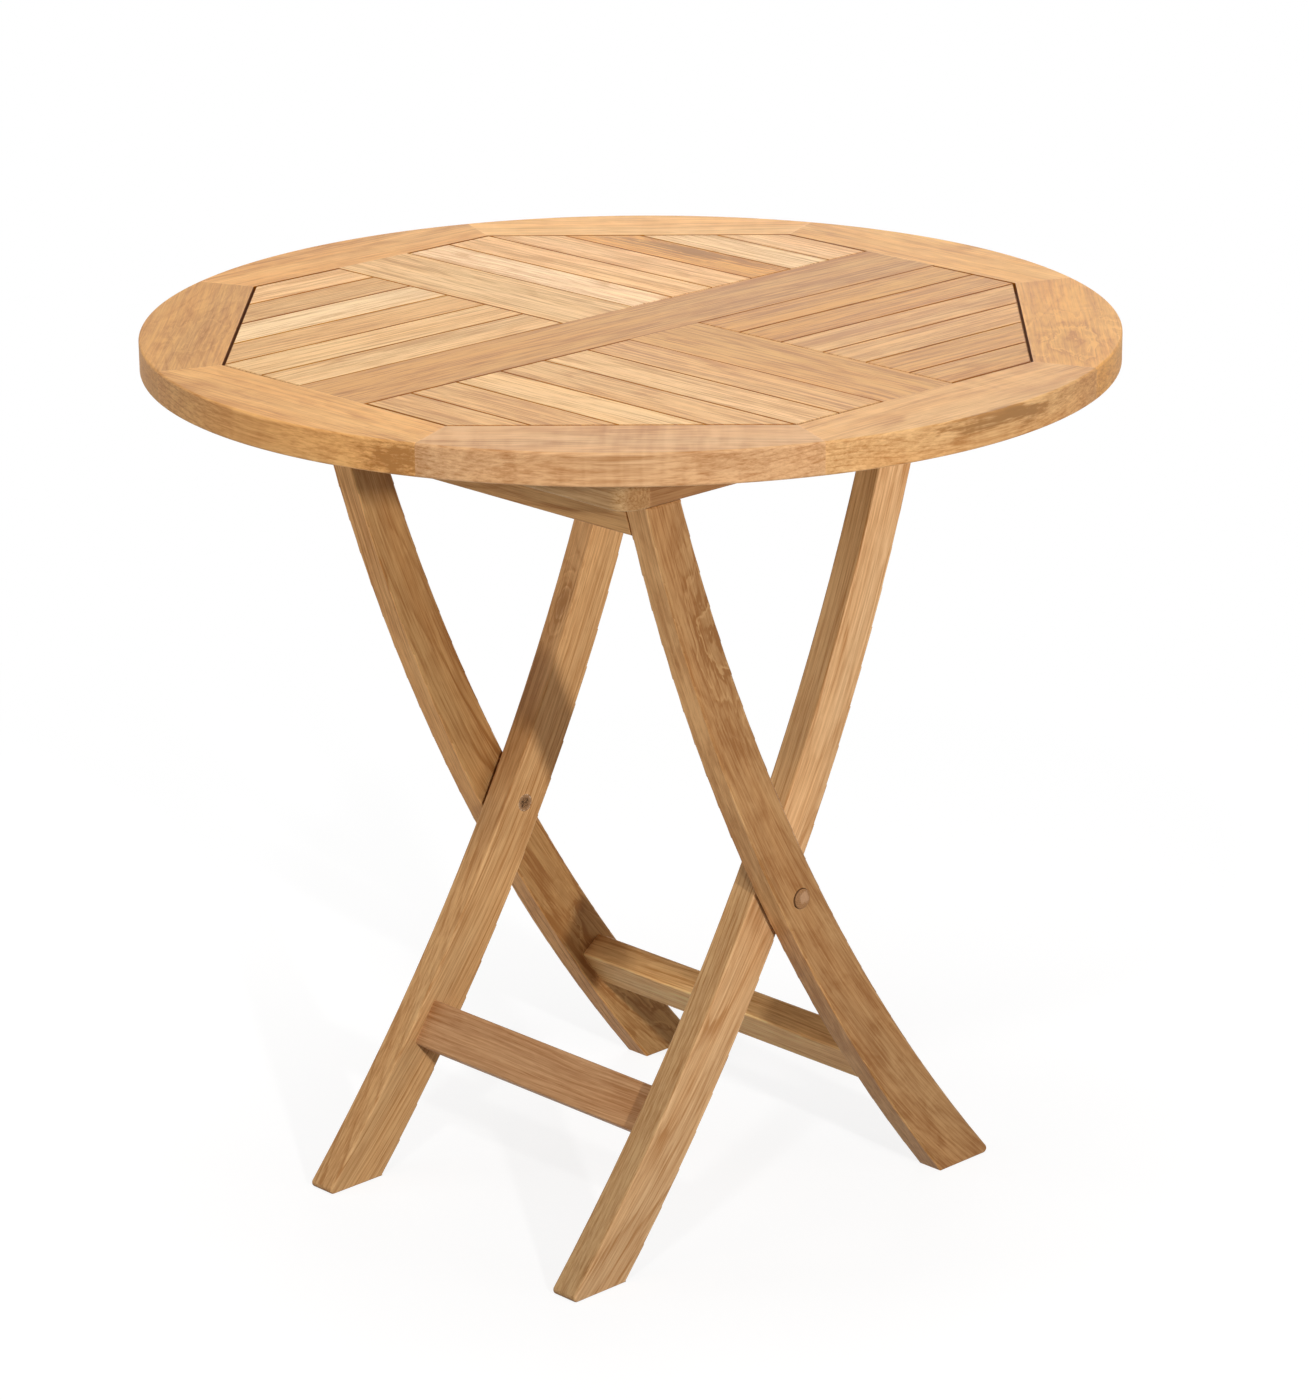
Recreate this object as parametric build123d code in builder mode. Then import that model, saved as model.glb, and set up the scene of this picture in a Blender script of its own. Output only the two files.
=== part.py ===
"""Round folding table in teak, with a slatted top and two pairs of crossed, curved legs.

All sizes are in millimetres. The origin is on the floor under the middle of the top, +Z is up,
the legs cross along X, and the pivot bolts lie along Y. "Left" is the +Y side, "right" the -Y side,
"front" the -X side and "rear" the +X side, where the top is hinged to the inner pair of legs.
"""

import os
from math import atan2, cos, degrees, hypot, radians, sin, sqrt, tan

from build123d import *

# Top
table_diameter = 800.0
table_height = 747.0
top_thickness = 26.5
rim_width = 79.0  # from the round edge to the middle of one straight inner edge
rim_edge_radius = 2.0
slat_count_per_quarter = 6
slat_count_to_corner = 2  # of these, the slats between a rail and the nearest corner of the rim's octagon
slat_gap = 1.3
rim_gap = 2.4  # open joint between the slats and the rim
arris = 0.6  # small bevel along the upper edges of slats and rails
groove_height = 8.4
groove_depth = 10.0
tongue_fit = 0.2  # play above and below a tongue
tongue_end_gap = 1.0  # play between a tongue's end and the bottom of its groove
spline_length = 40.0  # loose tongue across each joint of the rim
spline_depth = 30.0
spline_thickness = 6.0
spline_end_play = 0.5

# Apron frame under the top
board_stock = 26.5
base_width = 390.4  # over the outer legs and over the apron's side boards
apron_depth = 57.0
apron_reach = 194.0  # from the middle of the table to the front board's outer face
apron_corner_radius = 18.0
apron_end_radius = 26.0
apron_past_hinge = 26.0
rear_board_gap = 14.4  # between the inner leg heads and the rear board
board_edge_radius = 2.0

# Legs, as horizontal widths and places along X; both pairs have the same outline
leg_foot_x = 204.6
leg_foot_width = 63.0
pivot_height = 297.0
leg_pivot_width = 49.6
hinge_x = 159.5
hinge_above_apron_edge = 26.5
leg_head_width = 37.2
leg_head_round = 14.0
leg_above_hinge = 18.0
frame_gap = 3.8  # between an outer leg and the inner leg beside it
head_clearance = 0.3  # between the outer leg heads and the apron they carry
leg_edge_radius = 2.0
toe_radius = 4.0

# Bars that join the legs
bar_thickness = 25.0
bar_width = 41.0
inner_stretcher_height = 121.0
outer_stretcher_height = 113.0
inner_crossbar_below_hinge = 50.0
outer_crossbar_below_heads = 4.2  # from the leg heads to its middle line; its top is cut level with them
tenon_length = 16.0
tenon_shoulder = 6.0
tenon_fit = 0.15
tenon_end_play = 0.5

# Pivot bolts
bolt_radius = 4.0
bolt_play = 0.08
bolt_head_radius = 8.0
bolt_head_height = 4.5
bolt_end_inset = 1.0  # from the bolt's end to the inner leg's inside face
plug_radius = 9.0
plug_fit = 0.1
plug_hole_depth = 14.0
plug_proud = 2.0
plug_dome = 1.6
nut_across_flats = 13.0
nut_thickness = 6.3
nut_hole_radius = 7.8
nut_hole_depth = 9.4
washer_thickness = 1.6
washer_radius = 7.4
spacer_radius = 11.0
seat_play = 0.2  # play on each side of a washer, spacer or plug

# Screws and dowels of the apron
screw_radius = 2.25
screw_head_radius = 4.5
screw_head_height = 3.0
screw_head_depth = 22.0
screw_grip = 17.0  # length of a screw inside the top
screw_spacing = 44.0
dowel_radius = 4.0
dowel_length = 40.0
dowel_spacing = 29.0

# Sizes that follow
rim_piece_count = 8
rim_step = 360 / rim_piece_count
half_step = rim_step / 2
table_radius = table_diameter / 2
underside = table_height - top_thickness
top_middle = table_height - top_thickness / 2
apothem = table_radius - rim_width
corner_offset = apothem * tan(radians(half_step))
slat_pitch = (apothem - corner_offset) / (slat_count_per_quarter - slat_count_to_corner)
rail_half = corner_offset - slat_count_to_corner * slat_pitch
tongue_height = groove_height - 2 * tongue_fit
tongue_reach = groove_depth - tongue_end_gap
apron_bottom = underside - apron_depth
hinge_height = apron_bottom + hinge_above_apron_edge
outer_face = base_width / 2
outer_back = outer_face - board_stock
inner_face = outer_back - frame_gap
inner_back = inner_face - board_stock
head_top = apron_bottom - head_clearance
inner_crossbar_height = hinge_height - inner_crossbar_below_hinge
outer_crossbar_height = head_top - outer_crossbar_below_heads
apron_end_x = hinge_x + apron_past_hinge
rear_board_x = hinge_x - leg_head_width / 2 - rear_board_gap - board_stock / 2
front_board_x = board_stock / 2 - apron_reach
side_board_y = outer_face - board_stock / 2
apron_middle = apron_bottom + apron_depth / 2


def save(builder, name):
    """Labels a finished piece and writes it to its own STEP file."""
    builder.part.label = name
    export_step(builder.part, f"parts/{name}.step")


def xz_plane(y):
    """Plane square to Y whose sketches read as X and Z; extruding goes towards -Y."""
    return Plane.XZ.offset(-y)


def edge_points(bulge):
    """Three points of a leg's long edge: bulge is 1 on the convex side, -1 on the hollow one, 0 between."""
    foot = (-leg_foot_x + bulge * leg_foot_width / 2, 0.0)
    middle = (bulge * leg_pivot_width / 2, pivot_height)
    head = (hinge_x + bulge * leg_head_width / 2, hinge_height)
    return foot, middle, head


def circle_through(a, b, c):
    """Centre and radius of the circle through three points."""
    cross = 2 * (a[0] * (b[1] - c[1]) + b[0] * (c[1] - a[1]) + c[0] * (a[1] - b[1]))
    squares = [p[0] ** 2 + p[1] ** 2 for p in (a, b, c)]
    centre_x = squares[0] * (b[1] - c[1]) + squares[1] * (c[1] - a[1]) + squares[2] * (a[1] - b[1])
    centre_z = squares[0] * (c[0] - b[0]) + squares[1] * (a[0] - c[0]) + squares[2] * (b[0] - a[0])
    centre = (centre_x / cross, centre_z / cross)
    return centre, hypot(a[0] - centre[0], a[1] - centre[1])


def leg_x(bulge, height):
    """Place along X of an inner leg's edge, or of its middle line, at one height."""
    centre, radius = circle_through(*edge_points(bulge))
    return centre[0] + sqrt(radius**2 - (height - centre[1]) ** 2)


def leg_lean(height):
    """Angle in degrees between an inner leg's middle line and the vertical at one height."""
    centre, _ = circle_through(*edge_points(0))
    return degrees(atan2(centre[1] - height, leg_x(0, height) - centre[0]))


def bar_plane(facing, height, y):
    """Plane across a bar, turned with the legs. facing is 1 for the inner frame, -1 for the outer one."""
    lean = radians(facing * leg_lean(height))
    across = (cos(lean), 0, -sin(lean))
    return Plane(origin=(facing * leg_x(0, height), y, height), x_dir=across, z_dir=(0, -1, 0))


def bolt_plane(side, x, height, y):
    """Plane on a bolt's line, y from the middle of the table, facing outwards."""
    return Plane(origin=(x, side * y, height), z_dir=(0, side, 0))


def octagon_plane(angle, height):
    """Horizontal plane turned about the table's middle."""
    return Plane.XY.offset(height).rotated((0, 0, angle))


def screw_points():
    """Places of the screws that hold the apron to the rails."""
    across = screw_spacing / 2
    lengthways = [(x, side * across) for x in (front_board_x, rear_board_x) for side in (-1, 1)]
    crossways = [(side * across, end * side_board_y) for end in (-1, 1) for side in (-1, 1)]
    return lengthways + crossways


def dowel_planes():
    """Start of each apron dowel: along X in the front corners, along Y at the rear board."""
    planes = []
    for side in (-1, 1):
        for height in (apron_middle - dowel_spacing / 2, apron_middle + dowel_spacing / 2):
            front = (-apron_reach + board_stock - dowel_length / 2, side * side_board_y, height)
            rear = (rear_board_x, side * (outer_back - dowel_length / 2), height)
            planes.append(Plane(origin=front, z_dir=(1, 0, 0)))
            planes.append(Plane(origin=rear, z_dir=(0, side, 0)))
    return planes


# ---------------------------------------------------------------- top


def octagon(to_edge, mode):
    """Eight-sided outline with two edges square to X, given from its middle to an edge."""
    RegularPolygon(to_edge, rim_piece_count, major_radius=False, rotation=half_step, mode=mode)


def spline_middle():
    """Distance of the rim splines from the table's middle: midway between the groove and the edge."""
    inner = (apothem + groove_depth) / cos(radians(half_step))
    return (inner + table_radius) / 2


def rim_segment(index):
    """One piece of the rim: straight inside, round outside, with joints on the radii."""
    angle = rim_step * index
    reach = table_radius / cos(radians(half_step))
    spread = reach * tan(radians(half_step))
    with BuildPart() as segment:
        with BuildSketch(octagon_plane(angle, underside)):
            Circle(table_radius)
            octagon(apothem, Mode.SUBTRACT)
            with BuildLine():
                Polyline((0, 0), (reach, -spread), (reach, spread), close=True)
            make_face(mode=Mode.INTERSECT)
        extrude(amount=top_thickness)
        fillet(segment.edges().filter_by(GeomType.CIRCLE), rim_edge_radius)
        with BuildSketch(octagon_plane(angle, top_middle - groove_height / 2)):
            octagon(apothem + groove_depth, Mode.ADD)
        extrude(amount=groove_height, mode=Mode.SUBTRACT)
        for joint in (-half_step, half_step):
            with BuildSketch(octagon_plane(angle + joint, top_middle - spline_thickness / 2)):
                with Locations((spline_middle(), 0)):
                    Rectangle(spline_depth + 2 * spline_end_play, spline_length + 2 * spline_end_play)
            extrude(amount=spline_thickness, mode=Mode.SUBTRACT)
    save(segment, f"rim_{index + 1}")


def rim_splines():
    """Loose tongues, one across each joint of the rim."""
    with BuildPart() as splines:
        for index in range(rim_piece_count):
            with BuildSketch(octagon_plane(rim_step * (index + 0.5), top_middle - spline_thickness / 2)):
                with Locations((spline_middle(), 0)):
                    Rectangle(spline_depth, spline_length)
            extrude(amount=spline_thickness)
    save(splines, "rim_splines")


def rail(name, start, end, angle):
    """A rail along its own X from start to end, with tongues at its ends and a groove on each side."""
    length = end - start
    middle = (start + end) / 2
    with BuildPart() as bar:
        with BuildSketch(octagon_plane(angle, underside)):
            with Locations((middle, 0)):
                Rectangle(length, 2 * rail_half)
        extrude(amount=top_thickness)
        upper = bar.faces().sort_by(Axis.Z)[-1]
        long_edges = upper.edges().sort_by(SortBy.LENGTH)[-2:]
        chamfer(long_edges, arris)
        with BuildSketch(octagon_plane(angle, top_middle - tongue_height / 2)):
            with Locations((middle, 0)):
                Rectangle(length + 2 * tongue_reach, 2 * (rail_half - groove_depth))
        extrude(amount=tongue_height)
        with BuildSketch(octagon_plane(angle, top_middle - groove_height / 2)):
            with Locations((middle, rail_half), (middle, -rail_half)):
                Rectangle(length, 2 * groove_depth)
        extrude(amount=groove_height, mode=Mode.SUBTRACT)
        with Locations(*[Plane(origin=(x, y, underside), z_dir=(0, 0, -1)) for x, y in screw_points()]):
            Hole(screw_radius, depth=screw_grip)
    save(bar, name)


def slat(quarter, index):
    """One slat: it runs along its quarter's own Y, from the rail out to the rim."""
    name, angle = quarter
    middle = rail_half + (index + 0.5) * slat_pitch
    width = slat_pitch - slat_gap
    inner_end = rail_half + slat_gap
    outer_end = apothem - rim_gap
    with BuildPart() as board:
        with BuildSketch(octagon_plane(angle, underside)):
            with Locations((middle, (inner_end + outer_end) / 2)):
                Rectangle(width, outer_end - inner_end)
            if index >= slat_count_to_corner:
                octagon(outer_end, Mode.INTERSECT)
        extrude(amount=top_thickness)
        chamfer(board.faces().sort_by(Axis.Z)[-1].edges(), arris)
        tongue_start = rail_half - tongue_reach
        tongue_end = apothem + tongue_reach
        with BuildSketch(octagon_plane(angle, top_middle - tongue_height / 2)):
            with Locations((middle, (tongue_start + tongue_end) / 2)):
                Rectangle(width, tongue_end - tongue_start)
            octagon(tongue_end, Mode.INTERSECT)
        extrude(amount=tongue_height)
    save(board, f"slat_{name}_{index + 1}")


# ---------------------------------------------------------------- apron


def cut_screw_holes():
    """Counterbored holes through the apron board that is being built, from its lower edge."""
    places = [Plane(origin=(x, y, apron_bottom), z_dir=(0, 0, -1)) for x, y in screw_points()]
    with Locations(*places):
        CounterBoreHole(screw_radius, screw_head_radius, screw_head_depth, depth=apron_depth)


def cut_dowel_holes():
    """Holes for the apron's dowels in the board that is being built."""
    with Locations(*[plane.offset(dowel_length) for plane in dowel_planes()]):
        Hole(dowel_radius, depth=dowel_length)


def apron_side(name, side):
    """Side board: it carries the hinge bolt, and its free end is rounded so that the top can tilt."""
    with BuildPart() as board:
        with BuildSketch(xz_plane(side * side_board_y + board_stock / 2)):
            with BuildLine():
                start = (board_stock - apron_reach, apron_bottom)
                turn = (apron_end_x - apron_end_radius, apron_bottom)
                end = (apron_end_x, apron_bottom + apron_end_radius)
                Polyline(turn, start, (start[0], underside), (apron_end_x, underside), end)
                RadiusArc(turn, end, -apron_end_radius)
            make_face()
        extrude(amount=board_stock)
        lower = board.faces().sort_by(Axis.Z)[0]
        fillet(lower.edges().filter_by(Axis.X), board_edge_radius)
        with Locations(bolt_plane(side, hinge_x, hinge_height, outer_face)):
            CounterBoreHole(bolt_radius + bolt_play, plug_radius, plug_hole_depth, depth=board_stock)
        cut_screw_holes()
        cut_dowel_holes()
    save(board, name)


def apron_front():
    """Front board: it covers the ends of the side boards, and its outer corners are rounded."""
    with BuildPart() as board:
        with BuildSketch(Plane.XY.offset(apron_bottom)):
            with Locations((front_board_x, 0)):
                Rectangle(board_stock, base_width)
        extrude(amount=apron_depth)
        corners = board.edges().filter_by(Axis.Z).group_by(Axis.X)[0]
        fillet(corners, apron_corner_radius)
        outer = board.faces().sort_by(Axis.Z)[0].edges().sort_by(Axis.X)[:3]
        fillet(outer, board_edge_radius)
        cut_screw_holes()
        cut_dowel_holes()
    save(board, "apron_front")


def apron_rear():
    """Rear board, between the side boards and clear of the inner leg heads."""
    with BuildPart() as board:
        with BuildSketch(Plane.XY.offset(apron_bottom)):
            with Locations((rear_board_x, 0)):
                Rectangle(board_stock, 2 * outer_back)
        extrude(amount=apron_depth)
        fillet(board.faces().sort_by(Axis.Z)[0].edges().filter_by(Axis.Y), board_edge_radius)
        cut_screw_holes()
        cut_dowel_holes()
    save(board, "apron_rear")


def apron_dowels():
    """Dowels in the corners of the apron."""
    with BuildPart() as dowels:
        for plane in dowel_planes():
            with BuildSketch(plane):
                Circle(dowel_radius)
            extrude(amount=dowel_length)
    save(dowels, "apron_dowels")


def apron_screws():
    """Screws through the apron boards into the rails."""
    seat = apron_bottom + screw_head_depth
    with BuildPart() as screws:
        for x, y in screw_points():
            with BuildSketch(Plane.XY.offset(seat)):
                with Locations((x, y)):
                    Circle(screw_radius)
            extrude(amount=underside + screw_grip - seat)
            with BuildSketch(Plane.XY.offset(seat - screw_head_height)):
                with Locations((x, y)):
                    Circle(screw_head_radius - seat_play)
            extrude(amount=screw_head_height)
    save(screws, "apron_screws")


# ---------------------------------------------------------------- legs


def flush_shift(height):
    """Shift that brings a bar's face level with the convex edges of the legs."""
    across = leg_x(1, height) - leg_x(0, height)
    return across * cos(radians(leg_lean(height))) - bar_thickness / 2


# name, facing (1 inner frame, -1 outer frame), height of the middle, shift towards the convex edges
bars = [
    ("inner_stretcher", 1, inner_stretcher_height, 0.0),
    ("inner_crossbar", 1, inner_crossbar_height, 0.0),
    ("outer_stretcher", -1, outer_stretcher_height, 0.0),
    ("outer_crossbar", -1, outer_crossbar_height, flush_shift(outer_crossbar_height)),
]


def bar(name, facing, height, shift):
    """A bar between two legs, with a tenon on each end."""
    reach = inner_back if facing > 0 else outer_back
    tenon_reach = reach + tenon_length
    with BuildPart() as piece:
        with BuildSketch(bar_plane(facing, height, reach)):
            with Locations((facing * shift, 0)):
                Rectangle(bar_thickness, bar_width)
        extrude(amount=2 * reach)
        fillet(piece.edges().filter_by(Axis.Y), board_edge_radius)
        with BuildSketch(bar_plane(facing, height, tenon_reach)):
            with Locations((facing * shift, 0)):
                Rectangle(bar_thickness - 2 * tenon_shoulder, bar_width - 2 * tenon_shoulder)
        extrude(amount=2 * tenon_reach)
        if facing < 0:
            split(bisect_by=Plane.XY.offset(head_top), keep=Keep.BOTTOM)
    save(piece, name)


def leg(name, facing, side):
    """A curved leg. facing is 1 for the inner pair, whose feet are in front, and -1 for the outer pair."""
    outside = inner_face if facing > 0 else outer_face
    back = outside - board_stock
    arc_heights = (0, pivot_height, hinge_height + leg_above_hinge)
    mortise_depth = tenon_length + tenon_end_play
    mortise_start = back + mortise_depth if side > 0 else -back
    with BuildPart() as board:
        with BuildSketch(xz_plane(outside if side > 0 else -back)) as outline:
            with BuildLine():
                edges = []
                for bulge in (-1, 1):
                    edges.append(ThreePointArc(*[(facing * leg_x(bulge, z), z) for z in arc_heights]))
                Line(edges[0] @ 0, edges[1] @ 0)
                Line(edges[0] @ 1, edges[1] @ 1)
            make_face()
            if facing > 0:
                fillet(outline.vertices().group_by(Axis.Y)[-1], leg_head_round)
            feet = outline.vertices().group_by(Axis.Y)[0].sort_by(Axis.X)
            fillet(feet[0] if facing > 0 else feet[-1], toe_radius)
        extrude(amount=board_stock)
        if facing < 0:
            split(bisect_by=Plane.XY.offset(head_top), keep=Keep.BOTTOM)
        broad_faces = board.faces().sort_by(Axis.Y)
        fillet(broad_faces[0].edges() + broad_faces[-1].edges(), leg_edge_radius)
        for _, bar_facing, height, shift in bars:
            if bar_facing == facing:
                with BuildSketch(bar_plane(facing, height, mortise_start)):
                    with Locations((facing * shift, 0)):
                        Rectangle(
                            bar_thickness - 2 * (tenon_shoulder - tenon_fit),
                            bar_width - 2 * (tenon_shoulder - tenon_fit),
                        )
                extrude(amount=mortise_depth, mode=Mode.SUBTRACT)
        if facing > 0:
            with Locations(nut_plane(side, 0, pivot_height), nut_plane(side, hinge_x, hinge_height)):
                CounterBoreHole(bolt_radius + bolt_play, nut_hole_radius, nut_hole_depth, depth=board_stock)
        else:
            with Locations(bolt_plane(side, 0, pivot_height, outer_face)):
                CounterBoreHole(bolt_radius + bolt_play, plug_radius, plug_hole_depth, depth=board_stock)
    save(board, name)


# ---------------------------------------------------------------- pivot bolts


def nut_plane(side, x, height):
    """Plane on a bolt's line at the inner leg's inside face, facing the table's middle."""
    return Plane(origin=(x, side * inner_back, height), z_dir=(0, -side, 0))


def pivot_bolts(name, x, height):
    """Bolts of one pivot line, from a counterbore outside to a recess in the inner leg's inside face."""
    head_seat = outer_face - plug_hole_depth
    bolt_end = inner_back + bolt_end_inset
    with BuildPart() as bolts:
        for side in (-1, 1):
            with BuildSketch(bolt_plane(side, x, height, bolt_end)):
                Circle(bolt_radius)
            extrude(amount=head_seat - bolt_end)
            with BuildSketch(bolt_plane(side, x, height, head_seat)):
                Circle(bolt_head_radius)
            extrude(amount=bolt_head_height)
    save(bolts, f"{name}_bolts")


def pivot_plugs(name, x, height):
    """Domed wooden plugs over the bolt heads."""
    start = outer_face - plug_hole_depth + bolt_head_height + seat_play
    with BuildPart() as plugs:
        for side in (-1, 1):
            with BuildSketch(bolt_plane(side, x, height, start)):
                Circle(plug_radius - plug_fit)
            extrude(amount=outer_face + plug_proud - start)
        for end in (plugs.faces().sort_by(Axis.Y)[0], plugs.faces().sort_by(Axis.Y)[-1]):
            fillet(end.edges(), plug_dome)
    save(plugs, f"{name}_plugs")


def pivot_rings(name, x, height):
    """Nuts, the washers under them, and the spacers between the frames."""
    washer_start = inner_back + nut_hole_depth - seat_play - washer_thickness
    nut_start = washer_start - nut_thickness
    spacer_start = inner_face + seat_play
    with BuildPart() as nuts:
        for side in (-1, 1):
            with BuildSketch(bolt_plane(side, x, height, nut_start)):
                RegularPolygon(nut_across_flats / 2, 6, major_radius=False)
                Circle(bolt_radius + bolt_play, mode=Mode.SUBTRACT)
            extrude(amount=nut_thickness)
    save(nuts, f"{name}_nuts")
    for node, start, radius, thickness in (
        ("washers", washer_start, washer_radius, washer_thickness),
        ("spacers", spacer_start, spacer_radius, frame_gap - 2 * seat_play),
    ):
        with BuildPart() as rings:
            for side in (-1, 1):
                with BuildSketch(bolt_plane(side, x, height, start)):
                    Circle(radius)
                    Circle(bolt_radius + bolt_play, mode=Mode.SUBTRACT)
                extrude(amount=thickness)
        save(rings, f"{name}_{node}")


# ---------------------------------------------------------------- the whole table

os.makedirs("parts", exist_ok=True)

for rim_index in range(rim_piece_count):
    rim_segment(rim_index)
rim_splines()
rail("main_rail", -apothem, apothem, 0)
rail("cross_rail_left", rail_half, apothem, 90)
rail("cross_rail_right", rail_half, apothem, -90)
for slat_quarter in (("rear", 0), ("left", 90), ("front", 180), ("right", 270)):
    for slat_index in range(slat_count_per_quarter):
        slat(slat_quarter, slat_index)

apron_side("apron_left", 1)
apron_side("apron_right", -1)
apron_front()
apron_rear()
apron_dowels()
apron_screws()

for bar_values in bars:
    bar(*bar_values)
for leg_side, leg_side_name in ((1, "left"), (-1, "right")):
    leg(f"inner_leg_{leg_side_name}", 1, leg_side)
    leg(f"outer_leg_{leg_side_name}", -1, leg_side)

for pivot_name, pivot_x, pivot_z in (("scissor", 0, pivot_height), ("hinge", hinge_x, hinge_height)):
    pivot_bolts(pivot_name, pivot_x, pivot_z)
    pivot_plugs(pivot_name, pivot_x, pivot_z)
    pivot_rings(pivot_name, pivot_x, pivot_z)
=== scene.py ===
import random
from math import cos, pi, radians, sin

import bmesh
import bpy
from mathutils import Matrix, Vector, noise


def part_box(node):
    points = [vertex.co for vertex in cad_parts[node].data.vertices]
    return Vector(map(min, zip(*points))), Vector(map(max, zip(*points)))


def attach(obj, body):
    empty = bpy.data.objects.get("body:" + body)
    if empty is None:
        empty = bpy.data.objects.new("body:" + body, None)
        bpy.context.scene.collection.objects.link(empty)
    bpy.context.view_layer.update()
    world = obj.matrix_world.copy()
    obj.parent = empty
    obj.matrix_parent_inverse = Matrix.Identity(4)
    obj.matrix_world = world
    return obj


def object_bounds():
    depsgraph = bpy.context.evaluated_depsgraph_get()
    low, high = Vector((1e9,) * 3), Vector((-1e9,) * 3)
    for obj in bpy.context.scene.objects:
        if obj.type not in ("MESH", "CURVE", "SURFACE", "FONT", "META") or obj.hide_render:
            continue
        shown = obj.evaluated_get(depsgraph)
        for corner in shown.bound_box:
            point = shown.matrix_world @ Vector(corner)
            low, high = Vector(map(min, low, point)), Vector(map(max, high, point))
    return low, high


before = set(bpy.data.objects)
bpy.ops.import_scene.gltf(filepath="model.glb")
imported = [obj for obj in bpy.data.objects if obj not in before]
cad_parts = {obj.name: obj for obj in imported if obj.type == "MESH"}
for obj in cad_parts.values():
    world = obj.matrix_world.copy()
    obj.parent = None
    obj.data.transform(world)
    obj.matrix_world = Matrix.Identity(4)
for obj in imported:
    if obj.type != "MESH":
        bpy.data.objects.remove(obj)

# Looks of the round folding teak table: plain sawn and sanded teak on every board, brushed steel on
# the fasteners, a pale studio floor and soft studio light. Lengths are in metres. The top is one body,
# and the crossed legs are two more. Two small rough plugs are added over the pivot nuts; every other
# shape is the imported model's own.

cad_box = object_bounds()
X, Y, Z = Vector((1, 0, 0)), Vector((0, 1, 0)), Vector((0, 0, 1))


def middle(node):
    """Middle of a node's box at rest."""
    low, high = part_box(node)
    return (low + high) / 2


def dress(node, material):
    """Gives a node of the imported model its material."""
    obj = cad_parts[node]
    for slot in obj.material_slots:
        slot.material = material


# ---------------------------------------------------------------- colours and marks

# Base colours of the boards, as display colours
TONES = {
    "cream": (247, 206, 162),
    "pale": (237, 198, 150),
    "straw": (237, 189, 135),
    "honey": (227, 183, 129),
    "gold": (233, 180, 118),
    "wheat": (217, 170, 115),
    "amber": (224, 168, 105),
    "ochre": (218, 159, 88),
    "fawn": (225, 171, 104),
    "olive": (216, 166, 109),
    "tan": (210, 161, 103),
    "oat": (207, 160, 113),
    "copper": (204, 152, 92),
    "biscuit": (202, 148, 87),
    "hazel": (198, 147, 90),
    "brown": (204, 164, 114),
    # Darkened as painted shade, for the apron's sides under the rim
    "shade_umber": (160, 116, 72),
    "butter": (219, 172, 113),
    "syrup": (218, 163, 99),
    "walnut": (193, 145, 99),
    "chestnut": (200, 156, 104),
}

RIM_TONES = ("fawn", "gold", "amber", "biscuit", "syrup", "oat", "olive", "ochre")
# How strongly the grain of each rim piece ripples
RIM_RIPPLES = (0.3, 0.3, 0.3, 0.3, 0.5, 1.3, 0.8, 0.4)
SLAT_TONES = {
    "rear": ("cream", "straw", "straw", "ochre", "pale", "straw"),
    "left": ("honey", "honey", "wheat", "pale", "wheat", "straw"),
    "front": ("olive", "honey", "wheat", "honey", "wheat", "wheat"),
    "right": ("biscuit", "biscuit", "olive", "olive", "biscuit", "copper"),
}
OTHER_TONES = {
    "main_rail": "hazel",
    "cross_rail_left": "honey",
    "cross_rail_right": "copper",
    "inner_leg_left": "olive",
    "inner_leg_right": "chestnut",
    "outer_leg_left": "amber",
    "outer_leg_right": "olive",
    "inner_stretcher": "walnut",
    "outer_stretcher": "butter",
    "inner_crossbar": "olive",
    "outer_crossbar": "tan",
    # The apron's sides take a darker tone that paints the rim's shade on them
    "apron_left": "shade_umber",
    "apron_right": "shade_umber",
    "apron_front": "brown",
    "apron_rear": "brown",
    "rim_splines": "tan",
    "apron_dowels": "tan",
}

# Painted light: the colour of each leg's broad faces, as shares of its narrow ones', standing in for how
# the light falls on each face
LEG_FACES_PAINTED_LIGHT = {
    "inner_leg_left": (1.0, 1.03, 1.08),
    "inner_leg_right": (1.25, 1.28, 1.44),
    "outer_leg_left": (0.64, 0.64, 0.62),
    "outer_leg_right": (0.65, 0.61, 0.57),
}

# Painted shade: how much lighter the legs are toward the top, in each metre, standing in for how the
# light falls along them
LEG_SHADE_FADES = {"inner": 0.45, "outer": 0.1}

# Painted light: the colour of a stretcher's front and back, as shares of its top's, standing in for how
# the light falls on them
STRETCHER_FACES_PAINTED_LIGHT = {"inner": (1.0, 1.0, 1.0), "outer": (1.33, 1.42, 1.5)}

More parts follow.
